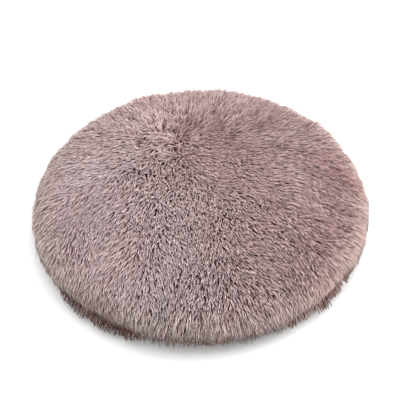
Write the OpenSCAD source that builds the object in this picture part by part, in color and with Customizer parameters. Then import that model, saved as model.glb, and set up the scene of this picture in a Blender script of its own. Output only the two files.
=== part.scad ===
// Round plush cushion bed for a cat or a small dog.
// Two round panels of long-pile plush are laid pile to pile, lockstitched round the rim, trimmed
// with an overlock, turned right side out through a gap, filled with polyester fibre and closed by
// hand. Each panel is a knitted backing with its pile standing on it.
// The origin is on the floor under the centre, +Z is up and -Y is the front.

/* [Cushion] */
// Diameter over the tips of the pile
overall_d = 500; // [400:10:600]
// Height over the tips of the pile, at rest on the floor
overall_h = 92; // [80:1:120]
// Height of the rim seam above the floor
rim_h = 34; // [30:1:38]
// Radius of the level middle of the top panel
crown_r = 60; // [20:5:100]
// Radius of the foot, where the underside lies flat on the floor
foot_r = 150; // [100:5:160]

/* [Pile] */
// Depth of the pile as it lies on the top panel
top_pile_t = 11; // [10:1:22]
// Depth of the pile that the cushion's weight presses flat underneath
under_pile_t = 6; // [4:1:10]
// How far the combed-out pile reaches past the rim seam
rim_pile = 12; // [10:1:30]
// How far the top panel's fringe hangs below the rim seam
fringe_drop = 17; // [8:1:20]
// How much further in than the fringe the under panel's pile ends
under_pile_inset = 5; // [2:1:8]

/* [Panels] */
// Thickness of the knitted backing
backing_t = 1; // [0.8:0.1:1.5]
// Width of the seam allowance that is turned in at the rim
allowance_w = 9; // [8:1:12]

/* [Stitching] */
// Distance from one machine stitch to the next
stitch_pitch = 6; // [5:1:12]
// Thickness of the sewing thread
thread_d = 0.5; // [0.3:0.1:0.6]
// Distance of the lockstitch line from the folded edge
stitch_inset = 3; // [2:0.5:4]
// Length of an overlock loop, from the raw edge towards the seam
overlock_w = 4; // [3:0.5:4.5]
// Angle of the rim that the turning gap takes up, at the back
gap_angle = 26; // [16:2:40]
// Number of hand stitches that close the turning gap
closing_count = 15; // [8:1:20]

/* [Filling] */
// Clearance of the fibre filling from the raw edges at the rim
fill_inset = 2; // [1.5:0.5:6]

/* [Hidden] */

$fn = 96;
curve_steps = 10;
skin_gap = 0.2;
rim_gap = 0.9;
stitch_share = 0.8;
closing_reach = 2.5;
closing_slant = 12;
back_angle = 90;

rim_r = overall_d / 2 - rim_pile;
raw_edge_r = rim_r - allowance_w;
crown_rise = overall_h - top_pile_t - rim_h;
foot_drop = rim_h - under_pile_t;
fringe_r = overall_d / 2 - rim_pile / 4;
seam_r = rim_r - stitch_inset;
stitch_count = floor(2 * PI * seam_r / stitch_pitch);
overlock_count = floor(2 * PI * raw_edge_r / stitch_pitch);
closing_d = thread_d * 1.4;

plush_tip = [0.70, 0.60, 0.60];
plush_shade = [0.55, 0.46, 0.46];
knit = [0.60, 0.48, 0.48];
thread = [0.74, 0.64, 0.63];
fibre = [0.95, 0.95, 0.93];

// Points of a panel's section from its level middle to its edge, where it meets the rim plane
// at a right angle. sign is 1 for the top panel and -1 for the under panel.
function panel_curve(level_r, edge_r, rise, sign) = [
    for (i = [0 : curve_steps])
        let (turn = 90 * i / curve_steps)
        [level_r + (edge_r - level_r) * sin(turn), rim_h + sign * rise * cos(turn)]
];

function reversed(points) = [for (i = [len(points) - 1 : -1 : 0]) points[i]];

// The same section closed to the axis
function to_axis(points) = concat([[0, points[0][1]]], points);

module turned(points) {
    rotate_extrude() polygon(points);
}

// One panel's backing: a domed shell with its seam allowance turned in along the rim plane
module backing(level_r, rise, sign) {
    outer = to_axis(panel_curve(level_r, rim_r, rise, sign));
    inner = to_axis(panel_curve(level_r, rim_r - backing_t, rise - backing_t, sign));
    turned(concat(outer, reversed(inner)));
    rotate_extrude()
        translate([raw_edge_r, sign > 0 ? rim_h : rim_h - backing_t])
            square([allowance_w - backing_t / 2, backing_t]);
}

// Copies of a stitch round the rim, leaving out the turning gap
module round_the_rim(count) {
    for (i = [0 : count - 1]) {
        turn = 360 * i / count;
        if (abs(turn - back_angle) > gap_angle / 2)
            rotate([0, 0, turn]) children();
    }
}

// One straight stitch that lies along the seam, with its lowest face at the given height
module seam_stitch(base_z) {
    stitch_l = stitch_pitch * stitch_share;
    translate([seam_r - thread_d / 2, -stitch_l / 2, base_z])
        cube([thread_d, stitch_l, thread_d]);
}

module top_pile() {
    backing_side = to_axis(panel_curve(crown_r, rim_r + rim_gap, crown_rise + skin_gap, 1));
    tips = to_axis(panel_curve(crown_r, overall_d / 2, overall_h - rim_h, 1));
    color(plush_tip)
        turned(concat(
            backing_side,
            [[fringe_r - rim_pile / 4, rim_h - fringe_drop]],
            [[fringe_r, rim_h - fringe_drop]],
            reversed(tips)
        ));
}

module top_backing() {
    color(knit) backing(crown_r, crown_rise, 1);
}

module bottom_pile() {
    under_r = fringe_r - rim_pile / 4;
    backing_side = to_axis(panel_curve(foot_r, rim_r + rim_gap, foot_drop + skin_gap, -1));
    tips = to_axis(panel_curve(foot_r, under_r - under_pile_inset, rim_h, -1));
    outer = [for (p = tips) if (p[1] < rim_h - fringe_drop - skin_gap) p];
    color(plush_shade)
        turned(concat(
            outer,
            [[under_r - skin_gap, rim_h - fringe_drop - skin_gap]],
            reversed([for (p = backing_side) [p[0], p[1] - skin_gap]])
        ));
}

module bottom_backing() {
    color(knit) backing(foot_r, foot_drop, -1);
}

module fibre_fill() {
    edge_r = raw_edge_r - fill_inset;
    upper = panel_curve(crown_r, edge_r, crown_rise - backing_t - skin_gap, 1);
    lower = panel_curve(foot_r, edge_r, foot_drop - backing_t - skin_gap, -1);
    color(fibre)
        turned(concat(to_axis(upper), [for (i = [1 : curve_steps]) lower[curve_steps - i]],
            [[0, lower[0][1]]]));
}

module rim_needle_thread() {
    color(thread) round_the_rim(stitch_count) seam_stitch(rim_h + backing_t);
}

module rim_bobbin_thread() {
    color(thread) round_the_rim(stitch_count) seam_stitch(rim_h - backing_t - thread_d);
}

// Each overlock loop wraps both raw edges
module rim_overlock_thread() {
    inner_r = raw_edge_r - thread_d;
    loop_h = 2 * (backing_t + thread_d);
    color(thread)
        for (i = [0 : overlock_count - 1])
            rotate([0, 0, 360 * i / overlock_count])
                translate([0, thread_d / 2, rim_h])
                    rotate([90, 0, 0])
                        linear_extrude(thread_d)
                            difference() {
                                translate([inner_r, -loop_h / 2])
                                    square([overlock_w + thread_d, loop_h]);
                                translate([raw_edge_r, -backing_t])
                                    square([overlock_w + thread_d, 2 * backing_t]);
                            }
}

// Hand stitches across the folded edges, each slanted along the rim
module closing_stitches() {
    span = gap_angle - 2;
    color(thread)
        for (i = [0 : closing_count - 1])
            rotate([0, 0, back_angle - span / 2 + span * i / (closing_count - 1)])
                translate([rim_r + closing_d / 2, 0, rim_h])
                    rotate([closing_slant, 0, 0])
                        cylinder(d = closing_d, h = 2 * closing_reach, center = true, $fn = 16);
}

top_pile();
top_backing();
bottom_pile();
bottom_backing();
fibre_fill();
rim_needle_thread();
rim_bobbin_thread();
rim_overlock_thread();
closing_stitches();
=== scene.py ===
"""A round cushion bed in long-pile plush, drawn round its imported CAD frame.

The casing is two knitted panels that cloth simulation fills out. The pile is real mesh: each lock
is a closed, tapered tube with a finer wisp beside it, rooted on the simulated casing. Locks lie in
the flat coordinates of the cut cloth, where +X is to the right and -Y is the front.
"""
import math

import bpy
import numpy as np
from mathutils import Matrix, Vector, kdtree


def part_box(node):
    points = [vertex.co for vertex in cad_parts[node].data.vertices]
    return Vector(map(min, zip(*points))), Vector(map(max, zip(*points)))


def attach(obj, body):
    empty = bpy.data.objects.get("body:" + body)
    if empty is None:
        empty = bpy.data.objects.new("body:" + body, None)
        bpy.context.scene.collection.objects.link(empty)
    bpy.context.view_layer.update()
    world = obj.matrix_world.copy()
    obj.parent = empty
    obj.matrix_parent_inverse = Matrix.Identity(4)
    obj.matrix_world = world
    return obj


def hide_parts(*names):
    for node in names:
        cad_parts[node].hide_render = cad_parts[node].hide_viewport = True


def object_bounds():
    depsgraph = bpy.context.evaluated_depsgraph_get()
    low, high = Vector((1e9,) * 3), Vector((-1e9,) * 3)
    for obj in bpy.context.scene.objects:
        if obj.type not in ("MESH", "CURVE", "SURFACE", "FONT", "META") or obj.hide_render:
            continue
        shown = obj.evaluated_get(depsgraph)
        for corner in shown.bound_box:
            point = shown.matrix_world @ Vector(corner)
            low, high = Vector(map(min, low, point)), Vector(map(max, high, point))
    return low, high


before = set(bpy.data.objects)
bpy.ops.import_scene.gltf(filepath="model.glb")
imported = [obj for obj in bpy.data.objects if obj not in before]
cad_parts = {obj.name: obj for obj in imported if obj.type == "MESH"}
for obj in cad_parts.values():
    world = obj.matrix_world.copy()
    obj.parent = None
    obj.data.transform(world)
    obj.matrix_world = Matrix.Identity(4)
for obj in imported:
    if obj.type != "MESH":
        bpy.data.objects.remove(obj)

MM = 0.001
cad_low, cad_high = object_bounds()
draw = np.random.default_rng(20)

# ---------------------------------------------------------------- sizes, most from the frame

OUTER_R = (cad_high.x - cad_low.x) / 2
RIM_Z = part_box("top_backing")[0].z
RIM_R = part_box("top_backing")[1].x
PANEL_TOP_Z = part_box("top_backing")[1].z
PANEL_UNDER_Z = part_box("bottom_backing")[0].z
SEAM_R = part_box("rim_needle_thread")[1].x
BACKING_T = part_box("rim_needle_thread")[0].z - RIM_Z
THREAD_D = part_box("rim_needle_thread")[1].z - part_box("rim_needle_thread")[0].z
FILL_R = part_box("fibre_fill")[1].x

# As in the CAD: how far the filling ends from the raw edges, and each panel's level middle
FILL_INSET = 2 * MM
RAW_EDGE_R = FILL_R + FILL_INSET
LEVEL_R_TOP = 60 * MM
LEVEL_R_UNDER = 150 * MM


# ---------------------------------------------------------------- small helpers


def smooth_step(low, high, x):
    """0 up to low, 1 from high on, and a smooth rise between them."""
    t = np.clip((x - low) / (high - low), 0, 1)
    return t * t * (3 - 2 * t)


def unit(v):
    return v / np.maximum(np.linalg.norm(v, axis=-1, keepdims=True), 1e-12)


class Ripples:
    """A smooth random field over the plane: waves of about one length, in all directions."""

    def __init__(self, wavelength, waves=14):
        heading = draw.uniform(0, 2 * math.pi, waves)
        number = 2 * math.pi / (wavelength * draw.uniform(0.7, 1.6, waves))
        self.wave = np.stack([np.cos(heading), np.sin(heading)]) * number
        self.phase = draw.uniform(0, 2 * math.pi, waves)
        self.size = math.sqrt(2 / waves)

    def __call__(self, points):
        return self.size * np.sin(points[..., :2] @ self.wave + self.phase).sum(-1)


def new_object(name, mesh, material):
    piece = bpy.data.objects.new(name, mesh)
    bpy.context.scene.collection.objects.link(piece)
    mesh.materials.append(material)
    return piece


def declared(piece, stands_for):
    """The piece, parented to its body, with the CAD node that it stands for hidden."""
    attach(piece, "root")
    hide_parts(stands_for)
    return piece


def mesh_from(name, vertices, loop_vertices, loop_starts):
    """A mesh from flat arrays, smooth shaded."""
    mesh = bpy.data.meshes.new(name)
    mesh.vertices.add(len(vertices))
    mesh.loops.add(len(loop_vertices))
    mesh.polygons.add(len(loop_starts))
    mesh.vertices.foreach_set("co", np.ascontiguousarray(vertices, np.float32).ravel())
    mesh.loops.foreach_set("vertex_index", np.ascontiguousarray(loop_vertices, np.int32))
    mesh.polygons.foreach_set("loop_start", np.ascontiguousarray(loop_starts, np.int32))
    mesh.update(calc_edges=True)
    mesh.shade_smooth()
    return mesh


# ---------------------------------------------------------------- materials


def node(tree, kind, **inputs):
    made = tree.nodes.new(kind)
    for name, value in inputs.items():
        socket = made.inputs[name.replace("_", " ")]
        if isinstance(value, bpy.types.NodeSocket):
            tree.links.new(value, socket)
        else:
            socket.default_value = value
    return made


def ramp(tree, factor, stops):
    made = tree.nodes.new("ShaderNodeValToRGB")
    tree.links.new(factor, made.inputs["Fac"])
    while len(made.color_ramp.elements) < len(stops):
        made.color_ramp.elements.new(0.5)
    for element, (place, colour) in zip(made.color_ramp.elements, stops):
        element.position = place
        element.color = (*colour, 1)
    return made.outputs["Color"]


def mixed(tree, kind, factor, a, b):
    made = tree.nodes.new("ShaderNodeMix")
    made.data_type = "RGBA"
    made.blend_type = kind
    for socket, value in zip((made.inputs[0], made.inputs[6], made.inputs[7]), (factor, a, b)):
        if isinstance(value, bpy.types.NodeSocket):
            tree.links.new(value, socket)
        else:
            socket.default_value = value if not isinstance(value, tuple) else (*value, 1)
    return made.outputs[2]


def scaled_sum(tree, source, share, base):
    made = tree.nodes.new("ShaderNodeMath")
    made.operation = "MULTIPLY_ADD"
    tree.links.new(source, made.inputs[0])
    made.inputs[1].default_value = share
    tree.links.new(base, made.inputs[2])
    return made.outputs[0]


def vector_math(tree, operation, vector, other=(0, 0, 0)):
    made = tree.nodes.new("ShaderNodeVectorMath")
    made.operation = operation
    tree.links.new(vector, made.inputs[0])
    made.inputs[1].default_value = other
    return made.outputs


def shader(name):
    material = bpy.data.materials.new(name)
    material.use_nodes = True
    return material, material.node_tree, material.node_tree.nodes["Principled BSDF"]


def attribute(tree, name):
    made = tree.nodes.new("ShaderNodeAttribute")
    made.attribute_name = name
    return made.outputs["Fac"]


# Multipliers of the plush's colour, as stops of a factor that the comment names
BY_TINT = [(0.0, (0.52, 0.47, 0.47)), (1.0, (1.40, 1.42, 1.42))]  # the lock's tint, its own and, round the rim and at the back, painted light and shade
BY_SLANT = [(0.25, (0.99, 1.02, 1.02)), (0.58, (1, 0.96, 0.945))]  # front left to back right
# Paler and beige towards the rim: a painted sheen across the fringe
PAINTED_RIM_SHEEN = [(0.86 * OUTER_R, (1, 1, 1)), (0.97 * OUTER_R, (1.06, 1.13, 1.06))]
SLANT = (0.8, 0.6, 0)
STREAK_SCALE = 420.0
PATCH_SCALE = 9.0


def plush(name, root, middle, tip, warm, shade):
    """Pile: dark at the root, partly its own colour and partly painted shade deep in the pile, and
    pale at the tip. Each strand is darker along its edges and paler on its top, a painted shade and
    highlight, and a little different from the next; its tint also carries painted light and shade.
    It is redder from the front left to the back right, paler at the rim as a painted sheen, and
    darker towards the floor as a painted shade. warm is the tint of its patches and shade is the
    colour of the painted shade near the floor."""
    material, tree, surface = shader(name)
    place = node(tree, "ShaderNodeTexCoord").outputs["Object"]
    streak = node(tree, "ShaderNodeTexNoise", Vector=place, Scale=STREAK_SCALE, Detail=2.0)
    # Paler on each strand's top and darker at its sides: a painted highlight and painted shade
    height = scaled_sum(tree, streak.outputs["Fac"], 0.2, attribute(tree, "painted_highlight"))
    height = scaled_sum(tree, attribute(tree, "along"), 0.9, height)
    height = node(tree, "ShaderNodeMapRange", Value=height, From_Max=2.0).outputs["Result"]
    # The dark root stop is partly the fibre's own colour and partly painted shade deep in the pile
    colour = ramp(tree, height, [(0.15, root), (0.45, middle), (0.85, tip)])
    patch = node(tree, "ShaderNodeTexNoise", Vector=place, Scale=PATCH_SCALE, Detail=3.0)
    slant = node(tree, "ShaderNodeMapRange",
                 Value=vector_math(tree, "DOT_PRODUCT", place, SLANT)["Value"],
                 From_Min=-OUTER_R, From_Max=OUTER_R)
    level = vector_math(tree, "MULTIPLY", place, (1, 1, 0))["Vector"]
    radius = vector_math(tree, "LENGTH", level)["Value"]
    above = node(tree, "ShaderNodeSeparateXYZ", Vector=place).outputs["Z"]
    for factor, stops in (
        (patch.outputs["Fac"], [(0.35, (1, 1, 1)), (0.7, warm)]),
        (attribute(tree, "tint"), BY_TINT),
        (slant.outputs["Result"], BY_SLANT),
        # Paler at the rim: a painted sheen
        (radius, PAINTED_RIM_SHEEN),
        # Darker towards the floor: a painted shade
        (above, [(0.35 * RIM_Z, shade), (1.25 * RIM_Z, (1, 1, 1))]),
    ):
        colour = mixed(tree, "MULTIPLY", 1.0, colour, ramp(tree, factor, stops))
    tree.links.new(colour, surface.inputs["Base Color"])
    surface.inputs["Roughness"].default_value = 0.7
    surface.inputs["Specular IOR Level"].default_value = 0.12
    surface.inputs["Sheen Weight"].default_value = 0.2
    surface.inputs["Sheen Roughness"].default_value = 0.45
    surface.inputs["Sheen Tint"].default_value = (0.95, 0.86, 0.85, 1)
    return material


def knit(name, colour, dark):
    """Knitted backing: fine courses of stitches and a little fuzz."""
    material, tree, surface = shader(name)
    place = node(tree, "ShaderNodeTexCoord").outputs["Object"]
    wales = node(tree, "ShaderNodeTexWave", Vector=place, Scale=330.0, Distortion=1.4)
    wales.inputs["Detail"].default_value = 2.0
    fuzz = node(tree, "ShaderNodeTexNoise", Vector=place, Scale=900.0, Detail=4.0)
    both = node(tree, "ShaderNodeMath")
    both.operation = "MULTIPLY"
    tree.links.new(wales.outputs["Fac"], both.inputs[0])
    tree.links.new(fuzz.outputs["Fac"], both.inputs[1])
    tree.links.new(ramp(tree, both.outputs[0], [(0.05, dark), (0.6, colour)]),
                   surface.inputs["Base Color"])
    bump = node(tree, "ShaderNodeBump", Height=both.outputs[0], Strength=0.5, Distance=0.0006)
    tree.links.new(bump.outputs["Normal"], surface.inputs["Normal"])
    surface.inputs["Roughness"].default_value = 0.85
    surface.inputs["Sheen Weight"].default_value = 0.2
    return material


def spun(name, colour, dark, scale):
    """Thread and loose fibre: a twisted streak with soft variation."""
    material, tree, surface = shader(name)
    place = node(tree, "ShaderNodeTexCoord").outputs["Object"]
    strands = node(tree, "ShaderNodeTexNoise", Vector=place, Scale=scale, Detail=5.0)
    strands.inputs["Distortion"].default_value = 0.8
    tree.links.new(ramp(tree, strands.outputs["Fac"], [(0.3, dark), (0.65, colour)]),
                   surface.inputs["Base Color"])
    bump = node(tree, "ShaderNodeBump", Height=strands.outputs["Fac"], Strength=0.4,
                Distance=0.0004)
    tree.links.new(bump.outputs["Normal"], surface.inputs["Normal"])
    surface.inputs["Roughness"].default_value = 0.6
    surface.inputs["Sheen Weight"].default_value = 0.25
    return material


# In each plush, shade is the colour of the painted shade near the floor
TOP_PLUSH = plush("plush_top", root=(0.31, 0.065, 0.07), middle=(0.47, 0.312, 0.318),
                  tip=(0.90, 0.83, 0.84), warm=(0.97, 0.90, 0.90), shade=(0.10, 0.085, 0.08))
# The under pile is the top's plush in darker colours: a painted shade
UNDER_PLUSH_PAINTED_SHADE = plush("plush_bottom", root=(0.17, 0.045, 0.045), middle=(0.37, 0.215, 0.21),
                    tip=(0.64, 0.51, 0.50), warm=(1.0, 0.92, 0.90), shade=(0.36, 0.32, 0.31))
KNIT = knit("knit_backing", (0.22, 0.13, 0.13), (0.08, 0.04, 0.04))
THREAD = spun("sewing_thread", (0.56, 0.42, 0.41), (0.34, 0.23, 0.22), 900.0)
FIBRE = spun("polyester_fibre", (0.9, 0.9, 0.88), (0.72, 0.72, 0.7), 160.0)


# ---------------------------------------------------------------- the casing, filled out by cloth

TOP_RINGS = 40
UNDER_RINGS = 40
SPOKES = 144
PROFILE_POINTS = 200
# How much lower than its CAD height the top panel starts, and the furthest a point may move
SIM_ROOM = 2.5 * MM
SIM_CAP = 7 * MM
SIM_FRAMES = 20
SIM_PRESSURE = 4
SIM_STIFFNESS = 12
LUMP_H = 1.2 * MM
LUMP_PITCH = 90 * MM
UNDER_LUMP_SHARE = 0.2


def section(level_r, edge_r, rise, rings):
    """Section of one panel from the axis to the rim, as (radius, height over the rim plane), with
    its points evenly spaced."""
    turn = np.linspace(0, math.pi / 2, PROFILE_POINTS)
    r = np.append(0, level_r + (edge_r - level_r) * np.sin(turn))
    z = np.append(rise, rise * np.cos(turn))
    run = np.append(0, np.cumsum(np.hypot(np.diff(r), np.diff(z))))
    even = np.linspace(0, run[-1], rings + 1)
    return np.interp(even, run, r), np.interp(even, run, z)


def panel_grid(level_r, rise, rings, sign):
    """Points of one panel as rings by spokes, with soft lumps in it. sign is 1 for the top panel
    and -1 for the under panel."""
    r, z = section(level_r, RIM_R, rise, rings)
    spoke = np.arange(SPOKES) * 2 * math.pi / SPOKES
    ring_r = r[:, None] * np.ones(SPOKES)
    grid = np.stack([ring_r * np.cos(spoke), ring_r * np.sin(spoke),
                     RIM_Z + sign * z[:, None] * np.ones(SPOKES)], -1)
    lump = Ripples(LUMP_PITCH)(grid) * smooth_step(0, 0.3, z / rise)[:, None]
    grid[..., 2] += sign * LUMP_H * lump * (1 if sign > 0 else UNDER_LUMP_SHARE)
    return grid


def casing_faces(rings, first, flip):
    """Faces of one panel's grid. Its centre is one vertex and its last ring is the rim."""
    faces = []
    for ring in range(rings):
        for spoke in range(SPOKES):
            after = (spoke + 1) % SPOKES
            if ring == 0:
                face = [first(0, 0), first(1, spoke), first(1, after)]
            else:
                face = [first(ring, spoke), first(ring + 1, spoke),
                        first(ring + 1, after), first(ring, after)]
            faces.append(face[::-1] if flip else face)
    return faces


def filled_out(top, under):
    """Both panels after cloth simulation with air pressure inside and the rim seam held."""
    inner_top = top[1:-1].reshape(-1, 3)
    inner_under = under[1:-1].reshape(-1, 3)
    rim = top[-1]
    points = np.concatenate([top[0, :1], inner_top, rim, under[0, :1], inner_under])
    rim_at = 1 + len(inner_top)
    under_at = rim_at + SPOKES

    def top_index(ring, spoke):
        return 0 if ring == 0 else 1 + (ring - 1) * SPOKES + spoke

    def under_index(ring, spoke):
        if ring == 0:
            return under_at
        if ring == UNDER_RINGS:
            return rim_at + spoke
        return under_at + 1 + (ring - 1) * SPOKES + spoke

    mesh = bpy.data.meshes.new("casing_sim")
    mesh.from_pydata(points.tolist(), [], casing_faces(TOP_RINGS, top_index, False)
                     + casing_faces(UNDER_RINGS, under_index, True))
    piece = bpy.data.objects.new("casing_sim", mesh)
    bpy.context.scene.collection.objects.link(piece)
    points = simulated(piece, points, range(rim_at, under_at))
    bpy.data.objects.remove(piece)
    bpy.data.meshes.remove(mesh)

    new_top, new_under = top.copy(), under.copy()
    new_top[0] = points[0]
    new_top[1:-1] = points[1:rim_at].reshape(TOP_RINGS - 1, SPOKES, 3)
    new_under[0] = points[under_at]
    new_under[1:-1] = points[under_at + 1:].reshape(UNDER_RINGS - 1, SPOKES, 3)
    new_under[..., 2] = np.maximum(new_under[..., 2], PANEL_UNDER_Z)
    return new_top, new_under


def simulated(piece, points, rim):
    """Where the cloth's points end up after its simulation, with the rim's points held."""
    held = piece.vertex_groups.new(name="rim")
    held.add(list(rim), 1.0, "REPLACE")
    cloth = piece.modifiers.new("Cloth", "CLOTH")
    settings = cloth.settings
    settings.quality = 6
    settings.mass = 0.25
    settings.tension_stiffness = SIM_STIFFNESS
    settings.compression_stiffness = SIM_STIFFNESS
    settings.bending_stiffness = 0.4
    settings.use_pressure = True
    settings.uniform_pressure_force = SIM_PRESSURE
    settings.vertex_group_mass = "rim"
    settings.effector_weights.gravity = 0
    cloth.point_cache.frame_start = 1
    cloth.point_cache.frame_end = SIM_FRAMES
    scene = bpy.context.scene
    for frame_number in range(1, SIM_FRAMES + 1):
        scene.frame_set(frame_number)
    shaped = piece.evaluated_get(bpy.context.evaluated_depsgraph_get())
    found = np.empty(len(points) * 3, np.float32)
    shaped.data.vertices.foreach_get("co", found)
    move = found.reshape(-1, 3) - points
    far = np.maximum(np.linalg.norm(move, axis=1, keepdims=True), 1e-9)
    scene.frame_set(1)
    return points + move * np.minimum(1, SIM_CAP / far)


top_grid, under_grid = filled_out(
    panel_grid(LEVEL_R_TOP, PANEL_TOP_Z - RIM_Z - SIM_ROOM, TOP_RINGS, 1),
    panel_grid(LEVEL_R_UNDER, RIM_Z - PANEL_UNDER_Z, UNDER_RINGS, -1),
)


def grid_normals(grid, sign):
    """Outward directions at a panel's points."""
    around = np.roll(grid, -1, 1) - np.roll(grid, 1, 1)
    out = np.gradient(grid, axis=0)
    around[0] = around[1]
    normal = unit(np.cross(out, around)) * sign
    normal[0] = normal[1].mean(0)
    return unit(normal)


class Panel:
    """One filled-out panel that roots are placed on. Its flat coordinates are those of the round
    cut: a place's distance along the cloth from the centre, and its direction. skirt is the way
    that locks go on past the rim."""

    def __init__(self, grid, sign, skirt):
        self.grid = grid
        self.normal = grid_normals(grid, sign)
        self.rings = len(grid) - 1
        self.skirt = np.array(skirt)
        r = np.linalg.norm(grid[..., :2], axis=-1).mean(1)
        step = np.hypot(np.diff(r), np.diff(grid[..., 2].mean(1)))
        self.area = np.append(0, np.cumsum(math.pi * (r[1:] + r[:-1]) * step))
        self.run = np.append(0, np.cumsum(step))
        self.reach = self.run[-1]

    def at(self, flat):
        """Position and normal at flat coordinates. Past the rim the surface goes on as a skirt."""
        away = np.linalg.norm(flat, axis=-1)
        ring = np.interp(away, self.run, np.arange(self.rings + 1))
        spoke = (np.arctan2(flat[..., 1], flat[..., 0]) / (2 * math.pi) * SPOKES) % SPOKES
        i = np.minimum(ring.astype(int), self.rings - 1)
        j = spoke.astype(int) % SPOKES
        a, b = (ring - i)[..., None], (spoke - np.floor(spoke))[..., None]
        k = (j + 1) % SPOKES
        point, normal = (
            (field[i, j] * (1 - a) + field[i + 1, j] * a) * (1 - b)
            + (field[i, k] * (1 - a) + field[i + 1, k] * a) * b
            for field in (self.grid, self.normal)
        )
        past = np.maximum(away - self.reach, 0)[..., None]
        return point + past * self.skirt, unit(normal)

    def roots(self, pitch, jitter=0.28):
        """Flat places about one pitch apart all over the panel, as a jittered sunflower head."""
        count = int(self.area[-1] / pitch**2)
        share = (np.arange(count) + 0.5) / count * self.area[-1]
        away = np.interp(share, self.area, self.run)
        turn = np.arange(count) * math.pi * (3 - math.sqrt(5))
        flat = np.stack([away * np.cos(turn), away * np.sin(turn)], -1)
        return flat + draw.normal(0, jitter * pitch, flat.shape)


def turned(direction, angle):
    """Flat directions turned to the left by an angle."""
    c, s = np.cos(angle), np.sin(angle)
    return np.stack([direction[:, 0] * c - direction[:, 1] * s,
                     direction[:, 0] * s + direction[:, 1] * c], -1)


# ---------------------------------------------------------------- locks of pile

LOCK_RINGS = 5
LOCK_SIDES = 3
WISP_RINGS = 3
WISP_SIDES = 3
# Steps of a lock's curve between two of its rings
FINE = 4
# Room left round each tube in its square of the texture map
CELL_EDGE = 0.08
TUFT_JITTER = 0.5


def grown(panel, root, heading, length, lean_root, lean_tip, pull, sway):
    """Centrelines of locks that follow the panel's own curve as they lie over, as locks by points
    by 3, and the surface's normals beside them. Leans are angles from upright at the root and the
    tip, pull moves the tips and sway waves the locks from side to side."""
    count = len(root)
    t = np.linspace(0, 1, FINE * (LOCK_RINGS - 1) + 1)
    lean = lean_root[:, None] + (lean_tip - lean_root)[:, None] * t**0.7
    step = length[:, None] / (len(t) - 1)
    lying = np.cumsum((np.sin(lean[:, 1:]) + np.sin(lean[:, :-1])) / 2 * step, 1)[:, FINE - 1::FINE]
    rising = np.cumsum((np.cos(lean[:, 1:]) + np.cos(lean[:, :-1])) / 2 * step, 1)[:, FINE - 1::FINE]
    lying, rising = (np.pad(part, ((0, 0), (1, 0))) for part in (lying, rising))
    t = t[::FINE]
    side = np.stack([-heading[:, 1], heading[:, 0]], -1)
    phase = draw.uniform(0, 2 * math.pi, (count, 1))
    turns = draw.uniform(0.5, 1.4, (count, 1)) * math.pi
    wave = (np.sin(phase + turns * t) - np.sin(phase)) * sway[:, None]
    flat = (root[:, None] + heading[:, None] * lying[..., None] + side[:, None] * wave[..., None]
            + pull[:, None] * (t**1.4)[:, None])
    point, normal = panel.at(flat)
    return point + normal * rising[..., None], normal


def wisps_by(path, spread, longer):
    """Centrelines of one wisp by each lock, that leaves it towards the tip."""
    t = np.linspace(0, 1, path.shape[1])[:, None]
    away = draw.normal(0, 1, (len(path), 1, 3)) * spread[:, None, None]
    stretched = path[:, :1] + (path - path[:, :1]) * longer[:, None, None]
    return stretched + away * (0.25 + 0.75 * t**1.2)


def tubes(path, normal, width, sides, flatness):
    """Vertices of closed tapered tubes round the centrelines, one array row to a tube."""
    tangent = unit(np.gradient(path, axis=1))
    across = unit(np.cross(normal, tangent))
    up = np.cross(tangent, across)
    corner = np.arange(sides) * 2 * math.pi / sides
    ring = (np.cos(corner)[:, None] * across[:, :, None]
            + flatness * np.sin(corner)[:, None] * up[:, :, None]) * (width / 2)[:, :, None, None]
    body = (path[:, :, None] + ring).reshape(len(path), -1, 3)
    tip = path[:, -1] + tangent[:, -1] * width[:, -1:] * 0.8
    return np.concatenate([body, tip[:, None]], 1)


def tube_template(rings, sides):
    """One tube's faces as vertex indices, each corner's place round and along it, and for each
    vertex how far along the tube it is and how far up on it."""
    loops, starts, uv = [], [], []

    def face(corners, places):
        starts.append(len(loops))
        loops.extend(corners)
        uv.extend(places)

    for ring in range(rings - 1):
        for k in range(sides):
            a, b = ring * sides + k, ring * sides + (k + 1) % sides
            low, high = ring / rings, (ring + 1) / rings
            left, right = k / sides, (k + 1) / sides
            face([a, b, b + sides, a + sides],
                 [(left, low), (right, low), (right, high), (left, high)])
    last, tip = (rings - 1) * sides, rings * sides
    for k in range(sides):
        face([last + k, last + (k + 1) % sides, tip],
             [(k / sides, (rings - 1) / rings), ((k + 1) / sides, (rings - 1) / rings),
              ((k + 0.5) / sides, 1)])
    face(list(range(sides))[::-1], [((sides - k) / sides, 0) for k in range(sides)])
    along = np.append(np.repeat(np.arange(rings) / rings, sides), 1.0)
    # How far up on the tube, which the plush paints paler as a painted highlight
    upper = np.maximum(np.sin(np.arange(sides) * 2 * math.pi / sides), 0)
    return np.array(loops), np.array(starts), np.array(uv), along, np.append(
        np.tile(upper, rings), 1.0)


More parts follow.
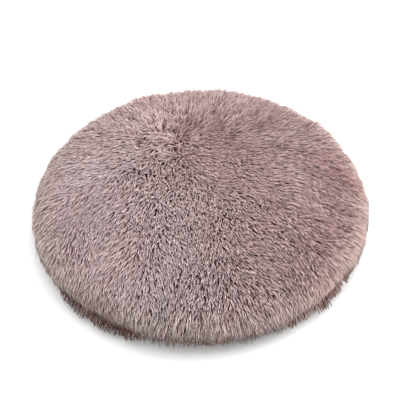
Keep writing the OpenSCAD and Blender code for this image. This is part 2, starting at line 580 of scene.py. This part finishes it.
def strand_piece(name, batches, material, stands_for):
    """One piece of pile or thread from batches of (vertices, rings, sides, tint)."""
    vertices, loops, starts, uvs = [], [], [], []
    fields = {"along": [], "painted_highlight": [], "tint": []}
    total = sum(len(batch[0]) for batch in batches)
    columns = math.ceil(math.sqrt(total))
    vertex_at = loop_at = tube_at = 0
    for points, rings, sides, tint in batches:
        loop, start, uv, along, painted_highlight = tube_template(rings, sides)
        count, each = len(points), points.shape[1]
        number = np.arange(count)
        vertices.append(points.reshape(-1, 3))
        loops.append((loop + (vertex_at + number * each)[:, None]).ravel())
        starts.append((start + (loop_at + number * len(loop))[:, None]).ravel())
        cell = np.stack([(tube_at + number) % columns, (tube_at + number) // columns], -1)
        uvs.append(((CELL_EDGE + (1 - 2 * CELL_EDGE) * uv + cell[:, None]) / columns)
                   .reshape(-1, 2))
        fields["along"].append(np.tile(along, count))
        fields["painted_highlight"].append(np.tile(painted_highlight, count))
        fields["tint"].append(np.repeat(tint, each))
        vertex_at += count * each
        loop_at += count * len(loop)
        tube_at += count
    mesh = mesh_from(name, np.concatenate(vertices), np.concatenate(loops),
                     np.concatenate(starts))
    places = mesh.uv_layers.new(name="OFBake")
    places.data.foreach_set("uv", np.concatenate(uvs).astype(np.float32).ravel())
    for label, values in fields.items():
        field = mesh.attributes.new(label, "FLOAT", "POINT")
        field.data.foreach_set("value", np.concatenate(values).astype(np.float32))
    return declared(new_object(name, mesh, material), stands_for)


def lock_shape(width, taper):
    """Width along a lock: fullest past its middle, then a short taper to a soft tip."""
    t = np.linspace(0, 1, LOCK_RINGS)
    return width[:, None] * (0.6 + 0.75 * t - 0.35 * t**2) * (1 - taper * t**3.5)


def wisp_shape(width):
    """Width along a wisp, tapering to its tip."""
    return width[:, None] * (1 - 0.75 * np.linspace(0, 1, WISP_RINGS) ** 2)


def tufts_of(root, panel, pitch, gather):
    """Which tuft each lock grows in, how its tip is drawn to the tuft's middle, and how many
    tufts there are."""
    middle = panel.roots(pitch, TUFT_JITTER)
    tree = kdtree.KDTree(len(middle))
    for i, point in enumerate(middle):
        tree.insert((*point, 0), i)
    tree.balance()
    tuft = np.array([tree.find((*point, 0))[1] for point in root])
    return tuft, (middle[tuft] - root) * np.reshape(gather, (-1, 1)), len(middle)


def batches_of(path, normal, width, tint, wisp_width, spread, taper=0.8):
    """The tubes of the locks and of the wisp beside each."""
    count = len(width)
    locks = tubes(path, normal, lock_shape(width, taper), LOCK_SIDES, 0.7)
    keep = np.linspace(0, LOCK_RINGS - 1, WISP_RINGS).round().astype(int)
    beside = wisps_by(path, spread * draw.uniform(0.6, 1.3, count),
                      draw.uniform(0.85, 1.12, count))
    wisps = tubes(beside[:, keep], normal[:, keep], wisp_shape(wisp_width), WISP_SIDES, 0.8)
    wisp_tint = np.clip(tint + draw.normal(0.08, 0.15, count), 0, 1)
    return [(locks, LOCK_RINGS, LOCK_SIDES, tint), (wisps, WISP_RINGS, WISP_SIDES, wisp_tint)]


def sectors(name, root, batches, count, material, stands_for):
    """One piece of pile for each sector of the cushion."""
    turn = np.arctan2(root[:, 1], root[:, 0]) / (2 * math.pi) % 1
    sector = (turn * count).astype(int) % count
    for number in range(count):
        here = sector == number
        cut = [(points[here], rings, sides, tint[here])
               for points, rings, sides, tint in batches]
        strand_piece(f"{name}_{number + 1}", cut, material, stands_for)


def varied(count, typical, share):
    """Sizes round a typical one, within 40% of it."""
    return typical * np.clip(1 + draw.normal(0, share, count), 0.6, 1.4)


def bearing(flat):
    """Direction from the centre in degrees: 0 is +X and 270 is the front."""
    return np.degrees(np.arctan2(flat[:, 1], flat[:, 0])) % 360


def towards(flat, angle):
    """How much a place lies in the direction of an angle from the centre, from 0 to 1."""
    return np.maximum(np.cos(np.radians(bearing(flat) - angle)), 0)


def between(angle, first, last, soft):
    """1 between two bearings and 0 outside them, with soft ends."""
    return smooth_step(first - soft, first + soft, angle) * (
        1 - smooth_step(last - soft, last + soft, angle))


# ---------------------------------------------------------------- the top panel's pile

TOP_PITCH = 2.35 * MM
TOP_SECTORS = 12
TOP_LENGTH = 16 * MM
TOP_TUFT = 12 * MM
TOP_WIDTH = (1.75, 2.2)
TOP_WISP_WIDTH = (0.6, 0.9)
TOP_WISP_SPREAD = 0.9 * MM
TOP_SWAY = (0.3, 1.0)

# The whorl that the locks grow from, its radius, and how soon they point away from its middle
CROWN_AT = np.array([-0.045, 0.09])
CROWN_R = 45 * MM
CROWN_SOFT = 12 * MM
# The way that the nap is brushed, and the sides where it is ruffled up and where it is streaked
NAP = np.array([0.0, -0.42])
RUFFLED = np.array([0.5, -0.87])
STREAKED = np.array([0.87, -0.5])
# Share of the way to the rim where the fringe begins, and the radius of the paler middle
FRINGE_FROM = 0.82
PALE_R = 110 * MM
# Bearings between which the fringe is short and the under panel's pile shows
STRIP = (216, 248)
STEPS = (298, 326)
# Bearings between which the fringe is long at the back
SHOULDERS = ((60, 76), (104, 120))
# Lengths of the fringe, and what is added at the front and the shoulders or taken off where bare
FRINGE = 25 * MM
FRONT_EXTRA = 4 * MM
SHOULDER_EXTRA = 4 * MM
BARE_LESS = 8 * MM

top_panel = Panel(top_grid, 1, (0, 0, -1))
under_panel = Panel(under_grid, -1, (0, 0, 1))


def top_pile():
    """Locks that point away from the whorl and down the nap, stand up in tufts behind it, and
    hang over the rim as a fringe. Angles are in degrees until they are used."""
    root = top_panel.roots(TOP_PITCH)
    count = len(root)
    from_crown = np.linalg.norm(root - CROWN_AT, axis=1)
    from_middle = np.linalg.norm(root, axis=1)
    at_crown = np.exp(-(from_crown / CROWN_R) ** 2)
    at_rim = smooth_step(FRINGE_FROM * top_panel.reach, top_panel.reach, from_middle)
    at_back = smooth_step(60 * MM, 150 * MM, root[:, 1]) * (1 - at_rim)
    combed = smooth_step(30 * MM, 130 * MM, np.abs(root[:, 0]))
    ruffled = smooth_step(60 * MM, 200 * MM, root @ RUFFLED) * (1 - at_rim)
    tuft, pull, tufts = tufts_of(root, top_panel, TOP_TUFT, 0.02 + 0.4 * at_back)

    def by_tuft(spread):
        return draw.normal(0, 1, tufts)[tuft] * spread

    def by_lock(spread):
        return draw.normal(0, 1, count) * spread

    # Which way each lock lies
    loose = np.stack([by_tuft(at_crown), by_tuft(at_crown)], -1)
    outward = (root - CROWN_AT) / (from_crown + CROWN_SOFT)[:, None]
    heading = unit(outward + NAP * (1 - at_back)[:, None] + loose
                   + 0.8 * at_rim[:, None] * unit(root))
    swirl = (9 * Ripples(95 * MM)(root) + 3 * Ripples(30 * MM)(root) + by_tuft(2 + 8 * at_back)
             + by_lock(12.5 - 3.5 * combed - 2.5 * at_rim + 28 * at_crown))

    # How far it leans over, at the root and at the tip
    lie = 1 - 0.5 * at_back - 0.1 * at_crown - 0.45 * ruffled
    nod = by_tuft(1 + 4 * at_back) + by_lock(5.8 - 1.6 * combed - 2.4 * at_rim)
    lean_root = 14 + 28 * lie + 2 * at_rim + nod
    lean_tip = 32 + 40 * lie + 27 * at_rim + nod

    # How long it is
    around = bearing(root)
    bare = between(around, *STRIP, 7) + between(around, *STEPS, 3)
    at_front = between(around, STRIP[1], STEPS[0], 3)
    shoulders = sum(between(around, *shoulder, 8) for shoulder in SHOULDERS)
    fringe = FRINGE + FRONT_EXTRA * at_front - BARE_LESS * bare + SHOULDER_EXTRA * shoulders
    uneven = (1 + by_lock(0.1).clip(-0.4, 0.4)) * (1 + by_tuft(0.03))
    length = uneven * (TOP_LENGTH * (1 - at_rim)
                       + fringe * at_rim * (1 - 0.45 * at_rim * draw.random(count) ** 2))
    sway = draw.uniform(*TOP_SWAY, count) * (1 - 0.6 * at_rim) * MM
    path, normal = grown(top_panel, root, turned(heading, np.radians(swirl)), length,
                         np.radians(lean_root), np.radians(lean_tip), pull, sway)
    width = draw.uniform(*TOP_WIDTH, count) * (1 - 0.35 * at_rim) * MM

    # How pale it is: 0.5 is the plush's own colour. The middle is paler; the back is darker, a
    # painted shade; round the rim the right is paler, a painted light, and the back, left and front
    # are darker, a painted shade
    pale = (0.13 * np.exp(-(from_middle / PALE_R) ** 2) - 0.17 * at_back * (1 - at_crown)
            + at_rim * (0.5 * towards(root, 350) - 0.08 * towards(root, 90)
                        - 0.2 * towards(root, 180) - 0.55 * towards(root, 270) ** 2))
    streaks = 0.2 + 0.25 * smooth_step(20 * MM, 200 * MM, root @ STREAKED) * (1 - at_rim)
    tint = np.clip(0.5 + pale + by_tuft(0.02) + by_lock(streaks), 0, 1)
    batches = batches_of(path, normal, width, tint, draw.uniform(*TOP_WISP_WIDTH, count) * MM,
                         TOP_WISP_SPREAD)
    sectors("top_pile", root, batches, TOP_SECTORS, TOP_PLUSH, "top_pile")


# ---------------------------------------------------------------- the under panel's pile

UNDER_PITCH = 3.6 * MM
UNDER_SECTORS = 4
UNDER_LENGTH = 15 * MM
UNDER_TUFT = 13 * MM
UNDER_WIDTH = (2.2, 3.0)
UNDER_WISP_WIDTH = (0.8, 1.2)
UNDER_WISP_SPREAD = 0.8 * MM
UNDER_SWAY = (0.3, 0.8)
UNDER_DROOP = 10 * MM
# Lowest places of a lock's centreline and of its skin
LOWEST_PATH = 1.4 * MM
LOWEST_SKIN = 0.05 * MM


def bottom_pile():
    """Locks that lie flat under the cushion and stand out and droop towards its rim."""
    root = under_panel.roots(UNDER_PITCH)
    count = len(root)
    out = np.linalg.norm(root, axis=1) / under_panel.reach
    around = bearing(root)
    strip, steps = between(around, *STRIP, 7), between(around, *STEPS, 3)
    stands = smooth_step(0.68, 0.86, out) * (0.75 + 0.25 * (strip + steps))
    tuft, pull, tufts = tufts_of(root, under_panel, UNDER_TUFT, 0.05 + 0.25 * steps)
    heading = turned(unit(root), math.radians(14) * Ripples(60 * MM)(root)
                     + draw.normal(0, math.radians(10), count))
    lean_root = np.radians(64 - 49 * stands)
    lean_tip = np.radians(88 - 48 * stands)
    length = (varied(count, UNDER_LENGTH, 0.05)
              * (1 + draw.normal(0, 1, tufts)[tuft] * (0.03 + 0.12 * steps))
              * (1 - 0.25 * stands * (1 - strip - steps) + 0.3 * strip))
    path, normal = grown(under_panel, root, heading, length, lean_root, lean_tip, pull,
                         draw.uniform(*UNDER_SWAY, count) * MM)
    droop = stands[:, None] * np.linspace(0, 1, LOCK_RINGS) ** 2 * UNDER_DROOP
    path[..., 2] = np.maximum(path[..., 2] - droop, LOWEST_PATH)
    width = draw.uniform(*UNDER_WIDTH, count) * MM
    # Paler at the steps; darker at the strip, a painted shade under the top's fringe
    tint = np.clip(0.3 + 0.4 * steps - 0.15 * strip + draw.normal(0, 0.2, tufts)[tuft]
                   + draw.normal(0, 0.12, count), 0, 1)
    batches = batches_of(path, normal, width, tint, draw.uniform(*UNDER_WISP_WIDTH, count) * MM,
                         UNDER_WISP_SPREAD, taper=0.55)
    for points, *_ in batches:
        points[..., 2] = np.maximum(points[..., 2], LOWEST_SKIN)
    sectors("bottom_pile", root, batches, UNDER_SECTORS, UNDER_PLUSH_PAINTED_SHADE,
            "bottom_pile")


# ---------------------------------------------------------------- casing and filling

FILL_GAP = 0.4 * MM
FILL_LUMP_H = 0.5 * MM
FILL_LUMP_PITCH = 22 * MM
FILL_SETTLED = 0.04


def turned_solid(name, first, rows, last, material, stands_for, flip=False):
    """A closed piece from rows of points round the axis and a single point at each end."""
    points = np.concatenate([first, rows.reshape(-1, 3), last])
    end_row = 1 + (len(rows) - 1) * SPOKES
    faces = []
    for spoke in range(SPOKES):
        after = (spoke + 1) % SPOKES
        faces.append([0, 1 + spoke, 1 + after])
        faces.append([len(points) - 1, end_row + after, end_row + spoke])
        for row in range(len(rows) - 1):
            here = 1 + row * SPOKES
            below = here + SPOKES
            faces.append([here + spoke, below + spoke, below + after, here + after])
    if flip:
        faces = [face[::-1] for face in faces]
    mesh = bpy.data.meshes.new(name)
    mesh.from_pydata(points.tolist(), [], faces)
    mesh.shade_smooth()
    return declared(new_object(name, mesh, material), stands_for)


def shell_piece(name, grid, sign, stands_for):
    """A panel of backing with its thickness and its seam allowance turned in at the rim."""
    inner = grid - grid_normals(grid, sign) * BACKING_T
    outward = unit(grid[-1:] * np.array([1, 1, 0]))
    allowance = []
    for r, z in ((RIM_R, 0), (RAW_EDGE_R, 0), (RAW_EDGE_R, sign * BACKING_T),
                 (RIM_R - 1.2 * BACKING_T, sign * BACKING_T)):
        allowance.append(outward * r + np.array([0, 0, RIM_Z + z]))
    rows = np.concatenate([grid[1:-1], *allowance, inner[1:-2][::-1]])
    return turned_solid(name, grid[0, :1], rows, inner[0, :1], KNIT, stands_for,
                        flip=sign < 0)


def filling():
    """The fibre inside: one soft lumpy mass that ends just short of the raw edges."""
    layers = []
    for grid, sign in ((top_grid, 1), (under_grid, -1)):
        lumps = 0.5 + 0.5 * Ripples(FILL_LUMP_PITCH)(grid)[..., None]
        depth = BACKING_T + FILL_GAP + FILL_LUMP_H * lumps
        layer = grid - grid_normals(grid, sign) * depth
        out = np.linspace(0, 1, len(grid))[:, None, None] ** 2
        layer[..., :2] *= 1 - (1 - FILL_R / RIM_R) * out
        layer[..., 2] = RIM_Z + (layer[..., 2] - RIM_Z) * (1 - FILL_SETTLED * out[..., 0])
        layers.append(layer)
    upper, lower = layers
    upper[-1, :, 2] = RIM_Z
    rows = np.concatenate([upper[1:], lower[1:-1][::-1]])
    return turned_solid("fibre_filling", upper[0, :1], rows, lower[0, :1], FIBRE,
                        "fibre_fill")


# ---------------------------------------------------------------- threads

# The stitches as in the CAD: their pitch and the share of it that each takes up, the turning gap
# in degrees, how far a loop reaches over the edges, and the hand stitches' number and size
STITCH_PITCH = 6 * MM
STITCH_SHARE = 0.8
GAP_ANGLE = 26
OVERLOCK_W = 4 * MM
CLOSING_COUNT = 15
CLOSING_REACH = 2.5 * MM
CLOSING_D = 1.4 * THREAD_D
CLOSING_SLANT = 0.2

THREAD_POINTS = 15
PLY_SIDES = 6
# Width of one of a thread's two plies, and its distance from the thread's middle, as shares of
# the thread's thickness
PLY_WIDTH = 0.55
PLY_OFFSET = 0.25
# Places along a stitch, from its one end to its other
ALONG = np.linspace(-1, 1, THREAD_POINTS)


def thread_piece(name, angle, r, z, beside, thickness, stands_for):
    """Stitches of two-ply thread from the angles, radii and heights over the rim plane of their
    centrelines. beside is a direction square to them, as shares of outward and of around."""
    outward = np.stack([np.cos(angle), np.sin(angle), 0 * angle], -1)
    around = np.stack([-np.sin(angle), np.cos(angle), 0 * angle], -1)
    middle = outward * (r + 0 * angle)[..., None]
    middle[..., 2] = RIM_Z + z
    side = beside[0] * outward + beside[1] * around
    up = unit(np.cross(unit(np.gradient(middle, axis=1)), side))
    twist = np.linspace(0, 2 * math.pi, THREAD_POINTS)[:, None]
    width = np.full(angle.shape, PLY_WIDTH * thickness)
    tint = np.full(len(angle), 0.5)
    batches = []
    for start in (0, math.pi):
        ply = middle + PLY_OFFSET * thickness * (np.cos(twist + start) * side
                                                 + np.sin(twist + start) * up)
        batches.append((tubes(ply, up, width, PLY_SIDES, 1), THREAD_POINTS, PLY_SIDES, tint))
    strand_piece(name, batches, THREAD, stands_for)


def stitch_angles(r, left_out=0):
    """Angles of the centrelines of stitches round a circle, less those within a gap at the
    back."""
    count = int(2 * math.pi * r / STITCH_PITCH)
    turn = np.arange(count) * 2 * math.pi / count
    turn = turn[np.abs(turn - math.pi / 2) > left_out / 2]
    return turn[:, None] + ALONG * STITCH_SHARE / 2 * STITCH_PITCH / r


def lockstitches():
    """The needle's and the bobbin's stitches, whose ends dip into the seam allowances."""
    seam_r = SEAM_R - THREAD_D / 2
    angle = stitch_angles(seam_r, math.radians(GAP_ANGLE))
    lift = BACKING_T + THREAD_D * (0.5 - ALONG**6)
    thread_piece("rim_needle_stitches", angle, seam_r, lift, (1, 0), THREAD_D,
                 "rim_needle_thread")
    thread_piece("rim_bobbin_stitches", angle, seam_r, -lift, (1, 0), THREAD_D,
                 "rim_bobbin_thread")


def overlock():
    """Slanted loops that go round both raw edges, from one side to the other."""
    edge = np.sqrt(np.cos(ALONG * math.pi / 2).clip(0))
    r = RAW_EDGE_R + OVERLOCK_W * (1 - edge) - THREAD_D * edge
    share = np.sin(ALONG * math.pi / 2)
    z = (BACKING_T + 0.6 * THREAD_D) * np.sign(share) * np.sqrt(np.abs(share))
    thread_piece("rim_overlock_loops", stitch_angles(RAW_EDGE_R), r, z, (0, 1), THREAD_D,
                 "rim_overlock_thread")


def closing():
    """Slanted hand stitches across the folded edges at the turning gap."""
    span = math.radians(GAP_ANGLE - 2)
    turn = math.pi / 2 + np.linspace(-span / 2, span / 2, CLOSING_COUNT)
    angle = turn[:, None] + ALONG * CLOSING_SLANT * CLOSING_REACH / RIM_R
    r = RIM_R + CLOSING_D * (0.5 - 1.6 * np.abs(ALONG) ** 3)
    thread_piece("closing_whip_stitches", angle, r, CLOSING_REACH * ALONG, (0, 1), CLOSING_D,
                 "closing_stitches")


top_pile()
bottom_pile()
soft_pieces = [
    filling(),
    shell_piece("top_panel_backing", top_grid, 1, "top_backing"),
    shell_piece("under_panel_backing", under_grid, -1, "bottom_backing"),
]
lockstitches()
overlock()
closing()


# ---------------------------------------------------------------- floor, light and camera

FLOOR_HALF = 6.0
FLOOR_COLOUR = (0.97, 0.97, 0.97, 1)
SKY_COLOUR = (1, 0.995, 0.985, 1)
SKY_STRENGTH = 1.27
# Name, place, side and power of each lamp
LAMPS = (
    ("overhead", (0.0, 0.3, 1.8), 2.0, 10),
    ("right", (1.6, 0.2, 0.9), 1.0, 16),
)

CAMERA_ELEVATION = math.radians(46.3)
CAMERA_ROLL = math.radians(-1.5)
CAMERA_DISTANCE = 1.625
CAMERA_AIM = Vector((0.0, 0.0068, 0.036))


def floor_and_light():
    material, _, surface = shader("floor")
    surface.inputs["Base Color"].default_value = FLOOR_COLOUR
    surface.inputs["Roughness"].default_value = 0.9
    mesh = bpy.data.meshes.new("floor")
    corners = [(x * FLOOR_HALF, y * FLOOR_HALF, 0) for x, y in ((-1, -1), (1, -1), (1, 1), (-1, 1))]
    mesh.from_pydata(corners, [], [(0, 1, 2, 3)])
    new_object("floor", mesh, material)
    world = bpy.data.worlds.new("studio")
    world.use_nodes = True
    world.node_tree.nodes["Background"].inputs["Color"].default_value = SKY_COLOUR
    world.node_tree.nodes["Background"].inputs["Strength"].default_value = SKY_STRENGTH
    bpy.context.scene.world = world
    for name, place, size, power in LAMPS:
        light = bpy.data.lights.new(name, "AREA")
        light.size = size
        light.energy = power
        lamp = bpy.data.objects.new(name, light)
        lamp.location = place
        lamp.rotation_euler = Vector(place).to_track_quat("Z", "Y").to_euler()
        bpy.context.scene.collection.objects.link(lamp)


def camera():
    lens = bpy.data.cameras.new("camera")
    lens.sensor_width = 36
    lens.lens = 100
    eye = bpy.data.objects.new("camera", lens)
    back = Vector((0, -math.cos(CAMERA_ELEVATION), math.sin(CAMERA_ELEVATION)))
    eye.location = CAMERA_AIM + back * CAMERA_DISTANCE
    eye.rotation_euler = (math.pi / 2 - CAMERA_ELEVATION, 0, 0)
    eye.rotation_euler.rotate_axis("Z", CAMERA_ROLL)
    bpy.context.scene.collection.objects.link(eye)
    bpy.context.scene.camera = eye


floor_and_light()
camera()
bpy.context.scene.view_settings.view_transform = "Standard"
